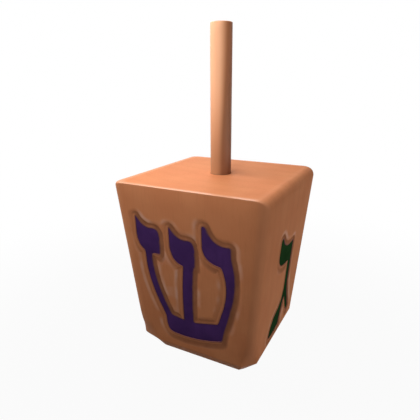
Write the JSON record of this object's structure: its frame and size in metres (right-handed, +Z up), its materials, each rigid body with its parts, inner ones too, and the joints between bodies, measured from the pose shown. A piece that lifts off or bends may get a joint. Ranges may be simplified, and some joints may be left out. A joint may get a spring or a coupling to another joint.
{
  "type": "dreidel",
  "caption": "Four-sided wooden spinning top with a tapered block, a blunt spinning point, a dowel stem and a carved, painted letter on each side.",
  "frame": {"origin": "under the tip of the spinning point, on the spinning axis", "axes": "+Z up along the spinning axis towards the stem's free end, -Y out of the side with the shin, +X out of the side with the gimel"},
  "size_m": [0.038, 0.038, 0.0886],
  "materials": {
    "block_wood": "smooth sanded, thinly waxed",
    "stem_wood": "smooth sanded dowel, thinly waxed",
    "violet_paint": "flat paint fill, brushed by hand",
    "green_paint": "flat paint fill, brushed by hand",
    "red_paint": "flat paint fill, brushed by hand",
    "blue_paint": "flat paint fill, brushed by hand"
  },
  "bodies": {
    "root": {"body": "block_wood", "stem": "stem_wood", "letter_shin": "violet_paint", "letter_gimel": "green_paint", "letter_nun": "red_paint", "letter_he": "blue_paint"}
  },
  "joints": []
}
